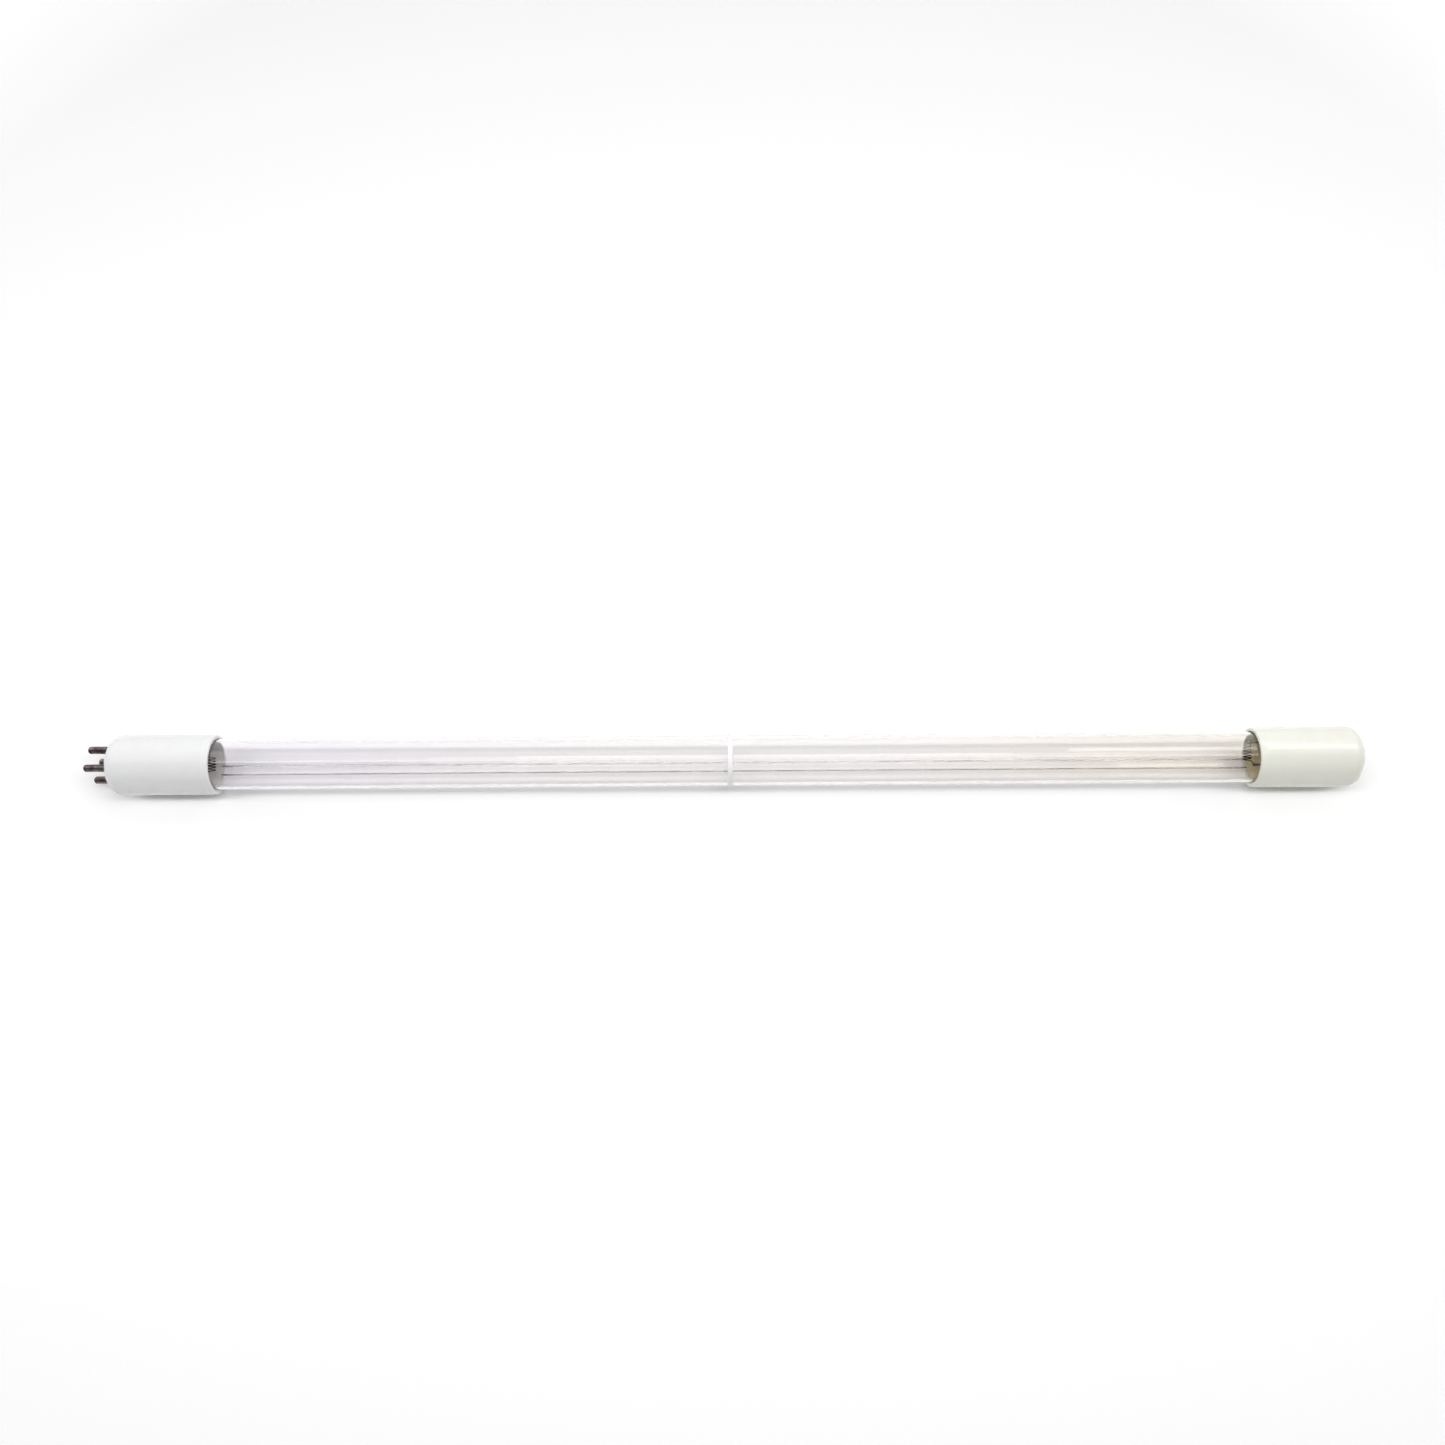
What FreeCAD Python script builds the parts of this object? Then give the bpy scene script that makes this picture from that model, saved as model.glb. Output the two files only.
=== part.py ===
"""A single-ended, four-pin germicidal lamp: a clear T5 tube between two glazed ceramic caps.

The lamp lies along X on its two caps, with the contact pins towards -X and the floor at Z = 0. The
origin is under the middle of the whole length, pins included.
Places along the lamp are given as a depth, measured inwards from the closed face of either cap.
Places across it are given as u and w, two directions turned about the lamp's axis by a roll angle
that counts from +Y towards +Z.
"""
import FreeCAD, Part
import math
import os
from FreeCAD import Vector

# Tube
lamp_length = 390.0  # from closed face to closed face, without the pins
tube_diameter = 16.0
tube_wall = 1.0
tube_setback = 9.0  # from a cap's closed face to the end of the glass

# Ceramic caps, sized from the glass outwards
cap_length = 33.0
cap_wall = 0.7
cap_end_wall = 3.0
cap_end_round = 4.0
cap_bore_round = 1.2
mouth_bevel_length = 2.0
mouth_bevel_depth = 0.3
mouth_bevel_round = 3.0
mouth_lip_round = 0.12

# Basing cement between glass and cap
cement_recess = 0.3
cement_slope = 0.3
cement_length = 15.0

# Contact pins, on the corners of a rectangle
pin_spacing_u = 7.92
pin_spacing_w = 6.35
pin_pattern_roll = 76.7
pin_diameter = 2.35
pin_reach = 6.8
pin_shank_diameter = 2.7  # where the pin passes through the cap's end wall
pin_shank_reach = 0.1  # how far the shank stands out of the cap's face
pin_root_taper = 0.25  # length of the cone between shank and pin
pin_bore = 1.5
pin_nose_round = 0.75
pin_nose_wall = 0.5
pin_nose_hole = 0.8
pin_flange_diameter = 3.6
pin_flange_thickness = 0.6
pin_hole_clearance = 0.03
solder_length = 1.4
solder_crown = 0.18

# Pressed glass stems
stem_length = 17.0  # from the end of the glass to the tip of the press
stem_tube_diameter = 7.4
stem_wall = 0.75
flare_length = 4.5
flare_rim = 0.8
flare_throat_round = 2.5
press_width = 8.4
press_thickness = 2.6
press_length = 3.0
press_taper = 3.2
exhaust_diameter = 2.4
exhaust_wall = 0.45
exhaust_tip_round = 1.08
exhaust_bore_round = 0.6
exhaust_tip_reach = 2.2  # beyond the end of the glass
exhaust_vent_diameter = 0.7

# Electrodes
electrode_roll = 15.0
pin_end_coil_reach = 5.4  # beyond the tip of the press
far_end_coil_reach = 8.2
pin_end_coil_shift = 0.0
far_end_coil_shift = 1.1
coil_turns = 5
coil_pitch = 0.9
coil_mean_diameter = 2.1
coil_strand = 0.5
coil_root_diameter = 0.54  # where a leg leaves the coil
lead_diameter = 0.55
lead_spacing = 6.9
lead_press_spacing = 4.4
lead_b_shortfall = 1.6
lead_fan_length = 2.2
clamp_length = 1.3
clamp_width = 0.9
clamp_round = 0.24

# Wiring
wire_bend_radius = 0.9
wire_turn_depth = 6.6
pin_entry_depth = 4.9
wire_solder_gap = 0.5
return_wire_diameter = 0.4
return_wire_1_roll = 259.5
return_wire_2_roll = 280.5
sleeve_diameter = 0.7
sleeve_bore_clearance = 0.02
sleeve_glass_clearance = 0.03
sleeve_cap_clearance = 0.07
sleeve_embedded = 4.0
splice_length = 2.6
splice_wall = 0.25
splice_depth = 4.7

# Band round the tube at mid-length
band_width = 1.5
band_thickness = 0.45
band_clearance = 0.03
band_offset = -1.2
band_edge_round = 0.12

# Mercury dose
mercury_diameter = 0.9
mercury_depth = 22.0

PIN_END, FAR_END = -1, 1  # which way along X each end lies
TINY = 1e-6  # a length or an angle under this counts as none
tube_radius = tube_diameter / 2
basing_gap = sleeve_glass_clearance + sleeve_diameter + sleeve_cap_clearance
bore_radius = tube_radius + basing_gap
cap_radius = bore_radius + cap_wall
axis_height = cap_radius
sleeve_orbit = tube_radius + sleeve_glass_clearance + sleeve_diameter / 2
press_depth = tube_setback + stem_length
pin_end_coil_depth = press_depth + pin_end_coil_reach
far_end_coil_depth = press_depth + far_end_coil_reach
middle_x = pin_reach / 2  # the origin is midway between the pins' tips and the end cap's face


def spot(end, depth, u=0.0, w=0.0, roll=0.0):
    """A point of the lamp, from its depth behind a cap's face and its place across the axis."""
    turn = math.radians(roll)
    y = u * math.cos(turn) - w * math.sin(turn)
    z = u * math.sin(turn) + w * math.cos(turn)
    return Vector(middle_x + end * (lamp_length / 2 - depth), y, axis_height + z)


def across(roll):
    """The unit vector that points out from the axis at a roll angle."""
    turn = math.radians(roll)
    return Vector(0, math.cos(turn), math.sin(turn))


def corner_arc(before, corner, after, radius):
    """The start, middle and end of the arc that rounds one corner of a path."""
    arriving = (corner - before).normalize()
    leaving = (after - corner).normalize()
    half_turn = arriving.getAngle(leaving) / 2
    if radius == 0 or half_turn < TINY:
        return corner, None, corner
    reach = radius * math.tan(half_turn)
    inward = (leaving - arriving).normalize()
    middle = corner + inward * (radius / math.cos(half_turn) - radius)
    return corner - arriving * reach, middle, corner + leaving * reach


def rounded_path(points, rounds, closed=False):
    """Straight runs joined by tangent arcs; a corner whose radius is 0 stays sharp."""
    count = len(points)
    stops = []
    for i in range(count):
        if closed or 0 < i < count - 1:
            stops.append(corner_arc(points[i - 1], points[i], points[(i + 1) % count], rounds[i]))
        else:
            stops.append((points[i], None, points[i]))
    edges = []
    for i in range(count):
        start, middle, end = stops[i]
        if middle is not None:
            edges.append(Part.Arc(start, middle, end).toShape())
        if closed or i < count - 1:
            following = stops[(i + 1) % count][0]
            if end.distanceToPoint(following) > TINY:
                edges.append(Part.LineSegment(end, following).toShape())
    return Part.Wire(edges)


def turned(end, corners):
    """A solid of revolution about the lamp's axis, from corners (depth, radius, round)."""
    points = [spot(end, depth, w=radius) for depth, radius, _ in corners]
    outline = rounded_path(points, [rounding for _, _, rounding in corners], closed=True)
    return Part.Face(outline).revolve(Vector(0, 0, axis_height), Vector(1, 0, 0), 360)


def rod(start, finish, diameter):
    """A plain round rod between two points."""
    run = finish - start
    return Part.makeCylinder(diameter / 2, run.Length, start, run)


def wire_along(points, diameter):
    """A round wire along a path whose corners are all bent to the same radius."""
    path = rounded_path(points, [wire_bend_radius] * len(points))
    circle = Part.Circle(points[0], points[1] - points[0], diameter / 2)
    return path.makePipeShell([Part.Wire(circle.toShape())], True, False)


def glass_tube():
    """The straight glass tube, open at both ends before the stems close it."""
    start = spot(PIN_END, tube_setback)
    finish = spot(FAR_END, tube_setback)
    bore = rod(start, finish, tube_diameter - 2 * tube_wall)
    return rod(start, finish, tube_diameter).cut(bore)


def cap(end):
    """A ceramic cap: closed at one end with a large round, bevelled to a thin lip at its mouth."""
    return turned(end, [
        (0, 0, 0),
        (0, cap_radius, cap_end_round),
        (cap_length - mouth_bevel_length, cap_radius, mouth_bevel_round),
        (cap_length, cap_radius - mouth_bevel_depth, mouth_lip_round),
        (cap_length, bore_radius, mouth_lip_round),
        (cap_end_wall, bore_radius, cap_bore_round),
        (cap_end_wall, 0, 0),
    ])


def pin_places():
    """The four pin positions as (u, w), in order round the axis."""
    u = pin_spacing_u / 2
    w = pin_spacing_w / 2
    return [(u, -w), (u, w), (-u, w), (-u, -w)]


def turned_at_pin(place, corners):
    """A solid of revolution about a contact pin's own axis."""
    u, w = place
    points = [spot(PIN_END, depth, u + radius, w, pin_pattern_roll) for depth, radius, _ in corners]
    outline = rounded_path(points, [rounding for _, _, rounding in corners], closed=True)
    centre = spot(PIN_END, 0, u, w, pin_pattern_roll)
    return Part.Face(outline).revolve(centre, Vector(1, 0, 0), 360)


def contact_pin(place):
    """A hollow pin: a rounded nose outside, a thicker shank through the cap's end wall, and a
    flange that seats on the inside of that wall."""
    flange_end = cap_end_wall + pin_flange_thickness
    bore_end = pin_nose_wall - pin_reach
    return turned_at_pin(place, [
        (flange_end, pin_bore / 2, 0),
        (flange_end, pin_flange_diameter / 2, 0),
        (cap_end_wall, pin_flange_diameter / 2, 0),
        (cap_end_wall, pin_shank_diameter / 2, 0),
        (-pin_shank_reach, pin_shank_diameter / 2, 0),
        (-pin_shank_reach - pin_root_taper, pin_diameter / 2, 0),
        (-pin_reach, pin_diameter / 2, pin_nose_round),
        (-pin_reach, pin_nose_hole / 2, 0),
        (bore_end, pin_nose_hole / 2, 0),
        (bore_end, pin_bore / 2, 0),
    ])


def solder_tip(place, wire):
    """Solder that fills the nose of a pin round the end of its wire, crowned where it shows."""
    bore_end = pin_nose_wall - pin_reach
    u, w = place
    filling = [
        (bore_end + solder_length, 0),
        (bore_end + solder_length, pin_bore / 2),
        (bore_end, pin_bore / 2),
        (bore_end, pin_nose_hole / 2),
        (solder_crown - pin_reach, pin_nose_hole / 2),
    ]
    points = [spot(PIN_END, depth, u + radius, w, pin_pattern_roll) for depth, radius in filling]
    edges = [Part.LineSegment(points[i], points[i + 1]).toShape() for i in range(len(points) - 1)]
    rim = pin_nose_hole / 2
    crown_radius = (rim ** 2 + solder_crown ** 2) / (2 * solder_crown)
    half_way = math.asin(rim / crown_radius) / 2
    shoulder_depth = crown_radius * (1 - math.cos(half_way)) - pin_reach
    shoulder = spot(PIN_END, shoulder_depth, u + crown_radius * math.sin(half_way), w, pin_pattern_roll)
    crown = spot(PIN_END, -pin_reach, u, w, pin_pattern_roll)
    edges.append(Part.Arc(points[-1], shoulder, crown).toShape())
    edges.append(Part.LineSegment(crown, points[0]).toShape())
    centre = spot(PIN_END, 0, u, w, pin_pattern_roll)
    return Part.Face(Part.Wire(edges)).revolve(centre, Vector(1, 0, 0), 360).cut(wire)


def pin_base():
    """The cap at the pin end, with a hole for each contact pin."""
    body = cap(PIN_END)
    for u, w in pin_places():
        outside = spot(PIN_END, -pin_reach, u, w, pin_pattern_roll)
        inside = spot(PIN_END, cap_end_wall + pin_flange_thickness, u, w, pin_pattern_roll)
        body = body.cut(rod(outside, inside, pin_shank_diameter + 2 * pin_hole_clearance))
    return body


def press_section(end, depth, width, thickness):
    """A flat-sided section with round ends; equal width and thickness make it a circle."""
    flat = (width - thickness) / 2
    r = thickness / 2
    eighth = math.pi / 4
    side = r * math.cos(eighth)
    rise = r * math.sin(eighth)

    def at(u, w):
        return spot(end, depth, u, w, electrode_roll)

    right = Part.Arc(at(flat + side, -rise), at(flat + r, 0), at(flat + side, rise)).toShape()
    left = Part.Arc(at(-flat - side, rise), at(-flat - r, 0), at(-flat - side, -rise)).toShape()
    if flat == 0:
        top = Part.Arc(at(side, rise), at(0, r), at(-side, rise)).toShape()
        bottom = Part.Arc(at(-side, -rise), at(0, -r), at(side, -rise)).toShape()
    else:
        top = Part.LineSegment(at(flat + side, rise), at(-flat - side, rise)).toShape()
        bottom = Part.LineSegment(at(-flat - side, -rise), at(flat + side, -rise)).toShape()
    return Part.Wire([right, top, left, bottom])


def stem(end, leads):
    """The glass stem: a flare fused to the tube's end, a narrow tube, the flat press that grips
    the lead wires, and the exhaust tube with its sealed tip."""
    stem_radius = stem_tube_diameter / 2
    bore = stem_radius - stem_wall
    neck_depth = press_depth - press_length - press_taper
    flare_depth = tube_setback + flare_length
    body = turned(end, [
        (tube_setback, tube_radius, 0),
        (tube_setback - flare_rim, tube_radius - flare_rim / 2, flare_rim / 2),
        (tube_setback - flare_rim / 2, tube_radius - 2 * tube_wall, flare_rim),
        (flare_depth, bore, flare_throat_round),
        (neck_depth - stem_wall, bore, stem_wall),
        (neck_depth - stem_wall, 0, 0),
        (neck_depth, 0, 0),
        (neck_depth, stem_radius, 0),
        (flare_depth, stem_radius, flare_throat_round),
        (tube_setback, tube_radius - tube_wall, 0),
    ])
    round_end = press_section(end, neck_depth, stem_tube_diameter, stem_tube_diameter)
    flat_start = press_section(end, neck_depth + press_taper, press_width, press_thickness)
    flat_end = press_section(end, press_depth, press_width, press_thickness)
    body = body.fuse(Part.makeLoft([round_end, flat_start], True, False))
    body = body.fuse(Part.makeLoft([flat_start, flat_end], True, True))
    exhaust_radius = exhaust_diameter / 2
    exhaust_bore = exhaust_radius - exhaust_wall
    tip = tube_setback - exhaust_tip_reach
    body = body.fuse(turned(end, [
        (tip, 0, 0),
        (tip, exhaust_radius, exhaust_tip_round),
        (neck_depth, exhaust_radius, 0),
        (neck_depth, 0, 0),
    ]))
    body = body.cut(turned(end, [
        (tip + exhaust_radius, 0, 0),
        (tip + exhaust_radius, exhaust_bore, exhaust_bore_round),
        (neck_depth, exhaust_bore, 0),
        (neck_depth, 0, 0),
    ]))
    vent_start = spot(end, neck_depth - exhaust_bore)
    vent_end = spot(end, neck_depth + stem_radius, 0, stem_radius, electrode_roll)
    body = body.cut(rod(vent_start, vent_end, exhaust_vent_diameter))
    for lead in leads:
        body = body.cut(lead)
    return body.removeSplitter()


def lead_run(side, coil_depth, coil_shift):
    """Depth and u of one lead wire, from its tip beside the coil to the outside of the stem."""
    tip_depth = coil_depth - (lead_b_shortfall if side < 0 else 0)
    spread = coil_shift + side * lead_spacing / 2
    pressed = side * lead_press_spacing / 2
    return [
        (tip_depth, spread),
        (press_depth + lead_fan_length, spread),
        (press_depth + lead_diameter, pressed),
        (wire_turn_depth + lead_diameter, pressed),
    ]


def clamp(end, side, coil_depth, coil_shift):
    """The flattened tip of a lead wire, folded over the electrode's leg."""
    depth, u = lead_run(side, coil_depth, coil_shift)[0]
    block = Part.makeBox(clamp_length, clamp_width, clamp_width)
    block = block.makeFillet(clamp_round, block.Edges)
    block.translate(Vector(-clamp_length / 2, -clamp_width / 2, -clamp_width / 2))
    block.rotate(Vector(0, 0, 0), Vector(1, 0, 0), electrode_roll)
    block.translate(spot(end, depth - clamp_length / 2, u, 0, electrode_roll))
    return block


def pin_end_lead(side, place, filament):
    """A lead wire of the near electrode, from its coil through the stem to its contact pin."""
    run = lead_run(side, pin_end_coil_depth, pin_end_coil_shift)
    points = [spot(PIN_END, depth, u, 0, electrode_roll) for depth, u in run]
    points += pin_entry(place)
    wire = wire_along(points, lead_diameter)
    tip = clamp(PIN_END, side, pin_end_coil_depth, pin_end_coil_shift)
    return wire.fuse(tip).cut(filament).removeSplitter()


def far_end_lead(side, splice_middle, filament):
    """A lead wire of the far electrode, from its coil through the stem to its splice."""
    run = lead_run(side, far_end_coil_depth, far_end_coil_shift)
    points = [spot(FAR_END, depth, u, 0, electrode_roll) for depth, u in run[:-1]]
    points += [far_turn(side), splice_middle]
    wire = wire_along(points, lead_diameter)
    tip = clamp(FAR_END, side, far_end_coil_depth, far_end_coil_shift)
    return wire.fuse(tip).cut(filament).removeSplitter()


def filament(end, coil_depth, coil_shift):
    """The coiled electrode: a close helix strung between the lead wires, with a leg at each end."""
    length = coil_turns * coil_pitch
    radius = coil_mean_diameter / 2
    helix = Part.makeHelix(coil_pitch, length, radius)
    start = Vector(radius, 0, 0)
    circle = Part.Circle(start, Vector(0, 1, coil_pitch / (2 * math.pi * radius)), coil_strand / 2)
    coil = Part.Wire(helix).makePipeShell([Part.Wire(circle.toShape())], True, True)
    along = across(electrode_roll)
    deeper = Vector(end, 0, 0)
    frame = FreeCAD.Placement(FreeCAD.Matrix(
        deeper.x, along.cross(deeper).x, along.x, 0,
        deeper.y, along.cross(deeper).y, along.y, 0,
        deeper.z, along.cross(deeper).z, along.z, 0,
        0, 0, 0, 1))
    frame.Base = spot(end, coil_depth, coil_shift - length / 2, 0, electrode_roll)
    coil.Placement = frame
    for side in (1, -1):
        root = spot(end, coil_depth - radius, coil_shift + side * length / 2, 0, electrode_roll)
        tip_depth, u = lead_run(side, coil_depth, coil_shift)[0]
        grip = spot(end, tip_depth - clamp_length / 2, u, 0, electrode_roll)
        coil = coil.fuse(Part.makeSphere(coil_root_diameter / 2, root))
        coil = coil.fuse(rod(root, grip, coil_strand))
    return coil.removeSplitter()


def pin_entry(place):
    """The end of a wire's path that leads into a contact pin."""
    u, w = place
    inner_end = wire_solder_gap - pin_reach + pin_nose_wall
    return [spot(PIN_END, depth, u, w, pin_pattern_roll) for depth in (pin_entry_depth, inner_end)]


def far_turn(side):
    """The point where a far lead bends out towards the gap round the glass."""
    return spot(FAR_END, splice_depth, side * lead_press_spacing / 2, 0, electrode_roll)


def splice_ends(side, roll):
    """The two ends of a splice barrel, half-way along the wires' radial stretch."""
    inner = far_turn(side)
    outer = spot(FAR_END, splice_depth, sleeve_orbit, 0, roll)
    middle = (inner + outer) * 0.5
    half = (outer - inner).normalize() * (splice_length / 2)
    return middle - half, middle, middle + half


def return_wire(roll, place, splice_middle):
    """A wire from a far-end splice, back along the outside of the glass, to its contact pin."""
    points = [splice_middle]
    points.append(spot(FAR_END, splice_depth, sleeve_orbit, 0, roll))
    points.append(spot(PIN_END, wire_turn_depth, sleeve_orbit, 0, roll))
    points += pin_entry(place)
    return wire_along(points, return_wire_diameter)


def splice(side, roll, lead, wire):
    """A crimp barrel closed on a far lead and its return wire."""
    start, _, finish = splice_ends(side, roll)
    barrel = rod(start, finish, lead_diameter + 2 * splice_wall)
    rim = [edge for edge in barrel.Edges if edge.isClosed()]
    return barrel.makeFillet(splice_wall / 2, rim).cut(lead).cut(wire)


def wire_sleeve(roll):
    """The insulating sleeve of a return wire, let a little way into the cement at each end."""
    depth = cap_length - sleeve_embedded
    start = spot(PIN_END, depth, sleeve_orbit, 0, roll)
    finish = spot(FAR_END, depth, sleeve_orbit, 0, roll)
    bore = rod(start, finish, return_wire_diameter + 2 * sleeve_bore_clearance)
    return rod(start, finish, sleeve_diameter).cut(bore)


def cement(end, sleeves, wires):
    """Basing cement that fills the gap between glass and cap, moulded round the return wires."""
    back = cap_length - cement_recess - cement_length
    ring = turned(end, [
        (back, tube_radius, 0),
        (back, bore_radius, 0),
        (cap_length - cement_recess, bore_radius, 0),
        (cap_length - cement_recess - cement_slope, tube_radius, 0),
    ])
    for piece in sleeves + wires:
        ring = ring.cut(piece)
    return ring


def belt(x, circles):
    """The outline of a belt pulled round circles (roll, orbit, radius), at one place along X."""
    centres = [across(roll) * orbit for roll, orbit, _ in circles]
    touching = []
    for i in range(len(circles)):
        j = (i + 1) % len(circles)
        run = centres[j] - centres[i]
        lean = math.acos((circles[i][2] - circles[j][2]) / run.Length)
        touching.append(math.atan2(run.z, run.y) - lean)
    edges = []
    base = Vector(x, 0, axis_height)
    for i in range(len(circles)):
        radius = circles[i][2]
        arrive = touching[i - 1]
        leave = touching[i]
        while leave < arrive:
            leave += 2 * math.pi
        start, middle, finish = [
            base + centres[i] + across(math.degrees(angle)) * radius
            for angle in (arrive, (arrive + leave) / 2, leave)]
        edges.append(Part.Arc(start, middle, finish).toShape())
        j = (i + 1) % len(circles)
        landing = base + centres[j] + across(math.degrees(touching[i])) * circles[j][2]
        edges.append(Part.LineSegment(finish, landing).toShape())
    return Part.Wire(edges)


def retaining_band():
    """The band stretched round the tube and the two sleeves, which holds the sleeves down."""
    left = middle_x + band_offset - band_width / 2

    def stretched(extra):
        return belt(left, [
            (0, 0, tube_radius + band_clearance + extra),
            (return_wire_1_roll, sleeve_orbit, sleeve_diameter / 2 + band_clearance + extra),
            (return_wire_2_roll, sleeve_orbit, sleeve_diameter / 2 + band_clearance + extra),
        ])

    along = Vector(band_width, 0, 0)
    body = Part.Face(stretched(band_thickness)).extrude(along)
    rims = [edge for edge in body.Edges if abs(edge.tangentAt(edge.FirstParameter).x) < TINY]
    body = body.makeFillet(band_edge_round, rims)
    return body.cut(Part.Face(stretched(0)).extrude(along))


def mercury_drop():
    """A bead of mercury lying on the lowest line of the tube's inner wall."""
    radius = mercury_diameter / 2
    rest = tube_radius - tube_wall - radius
    return Part.makeSphere(radius, spot(FAR_END, mercury_depth, 0, -rest))


def build():
    """Every piece of the lamp, by name."""
    places = pin_places()
    near_coil = filament(PIN_END, pin_end_coil_depth, pin_end_coil_shift)
    far_coil = filament(FAR_END, far_end_coil_depth, far_end_coil_shift)
    near_leads = [pin_end_lead(1, places[0], near_coil), pin_end_lead(-1, places[1], near_coil)]
    splices = [(-1, return_wire_1_roll), (1, return_wire_2_roll)]
    far_leads = [far_end_lead(side, splice_ends(side, roll)[1], far_coil) for side, roll in splices]
    wires = []
    for (side, roll), place in zip(splices, places[2:]):
        wires.append(return_wire(roll, place, splice_ends(side, roll)[1]))
    sleeves = [wire_sleeve(roll) for _, roll in splices]
    pieces = {
        "glass_tube": glass_tube(),
        "pin_end_stem": stem(PIN_END, near_leads),
        "far_end_stem": stem(FAR_END, far_leads),
        "pin_end_filament": near_coil,
        "far_end_filament": far_coil,
        "pin_base": pin_base(),
        "end_cap": cap(FAR_END),
        "pin_end_cement": cement(PIN_END, sleeves, wires),
        "far_end_cement": cement(FAR_END, sleeves, wires),
        "retaining_band": retaining_band(),
        "mercury_drop": mercury_drop(),
    }
    for i, letter in enumerate("ab"):
        pieces["pin_end_lead_" + letter] = near_leads[i]
        pieces["far_end_lead_" + letter] = far_leads[1 - i]
    for i, (side, roll) in enumerate(splices):
        number = str(i + 1)
        pieces["splice_" + number] = splice(side, roll, far_leads[i], wires[i])
        pieces["return_wire_" + number] = wires[i]
        pieces["wire_sleeve_" + number] = sleeves[i]
    pin_wires = near_leads + wires
    for i, place in enumerate(places):
        pieces["contact_pin_" + str(i + 1)] = contact_pin(place)
        pieces["solder_tip_" + str(i + 1)] = solder_tip(place, pin_wires[i])
    return pieces


os.makedirs("parts", exist_ok=True)
for name, piece in build().items():
    piece.exportStep("parts/" + name + ".step")
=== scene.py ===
"""A clear germicidal lamp tube with two ceramic caps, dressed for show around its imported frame.

The lamp lies along X on a pale table, with its contact pins towards -X. All lengths are metres.
Places along the lamp are depths, measured inwards from the closed face of either cap, and places
across it are given as u and w, turned about the lamp's axis by a roll angle.
"""

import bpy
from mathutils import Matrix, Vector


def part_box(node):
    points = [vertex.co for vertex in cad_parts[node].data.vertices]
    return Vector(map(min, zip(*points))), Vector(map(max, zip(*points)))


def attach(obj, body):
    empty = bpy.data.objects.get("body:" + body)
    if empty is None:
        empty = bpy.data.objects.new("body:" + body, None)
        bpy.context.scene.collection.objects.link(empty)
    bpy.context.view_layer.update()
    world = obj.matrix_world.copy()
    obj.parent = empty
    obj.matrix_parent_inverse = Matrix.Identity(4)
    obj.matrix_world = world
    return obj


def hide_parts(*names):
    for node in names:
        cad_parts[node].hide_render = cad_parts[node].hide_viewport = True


bl_info = {
    "name": "Germicidal lamp tube",
    "version": (1, 0, 0),
    "blender": (4, 5, 0),
    "location": "3D View > Sidebar > Lamp tube",
    "description": "Builds a clear germicidal lamp tube with ceramic caps around its packed frame",
    "category": "Add Mesh",
}

import math

import bmesh
import bpy
from bpy.props import FloatProperty, FloatVectorProperty, IntProperty, PointerProperty
from mathutils import Vector, noise

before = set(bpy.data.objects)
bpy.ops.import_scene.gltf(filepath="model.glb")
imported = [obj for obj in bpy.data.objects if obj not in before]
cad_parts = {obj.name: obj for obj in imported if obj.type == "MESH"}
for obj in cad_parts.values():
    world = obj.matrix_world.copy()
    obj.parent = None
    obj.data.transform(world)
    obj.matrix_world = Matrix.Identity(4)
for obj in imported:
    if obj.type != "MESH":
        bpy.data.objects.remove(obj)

MM = 0.001
BODY = "root"
PIN_END, FAR_END = -1, 1  # which way along X each end lies
TINY = MM / 1000  # a length that counts as nothing

# How many flat sides a full turn of each round piece has.
TUBE_SIDES = 256
CEMENT_SIDES = 240
CAP_SIDES = 192
PIN_SIDES = 72
PIN_HOLE_SIDES = 48
SLEEVE_SIDES = 40
NOTCH_SIDES = 32
STRAND_SIDES = 6

# How many straight steps a curve has.
ROUND_STEPS = 8
CAP_ROUND_STEPS = 12
SLEEVE_ROUND_STEPS = 4
CEMENT_FACE_STEPS = 6
COIL_TURN_STEPS = 90
COIL_LEG_STEPS = 24
STRAND_TURN_STEPS = 12

# Degrees from which an edge is shaded as sharp.
CREASE = 35
STRAND_CREASE = 80


def radius_of(node):
    """Half a round node's height."""
    low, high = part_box(node)
    return (high.z - low.z) / 2


def middle_of(node):
    """The middle of a node's box."""
    low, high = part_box(node)
    return (low + high) / 2


def linear(code):
    """An sRGB hex colour as linear red, green and blue."""
    channels = [int(code[i:i + 2], 16) / 255 for i in (1, 3, 5)]
    return tuple(c / 12.92 if c <= 0.04045 else ((c + 0.055) / 1.055) ** 2.4 for c in channels)


def per(size):
    """The texture scale that gives a pattern features of this size."""
    return 1 / size


AXIS = middle_of("glass_tube")
TUBE_RADIUS = radius_of("glass_tube")
CAP_RADIUS = radius_of("end_cap")
CAP_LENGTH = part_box("end_cap")[1].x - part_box("end_cap")[0].x
FACES = {PIN_END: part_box("pin_base")[0].x, FAR_END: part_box("end_cap")[1].x}
TUBE_SETBACK = FACES[FAR_END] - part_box("glass_tube")[1].x


def size(label, text, millimetres):
    """A length that a user can change."""
    return FloatProperty(name=label, description=text, default=millimetres * MM, unit="LENGTH")


def turn(label, text, degrees):
    """An angle that a user can change."""
    return FloatProperty(name=label, description=text, default=math.radians(degrees), unit="ROTATION")


def level(label, text, amount):
    """A strength or a share that a user can change."""
    return FloatProperty(name=label, description=text, default=amount)


def colour(label, text, code):
    """A colour that a user can change."""
    return FloatVectorProperty(name=label, description=text, default=linear(code), size=3,
                               min=0, max=1, subtype="COLOR")


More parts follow.
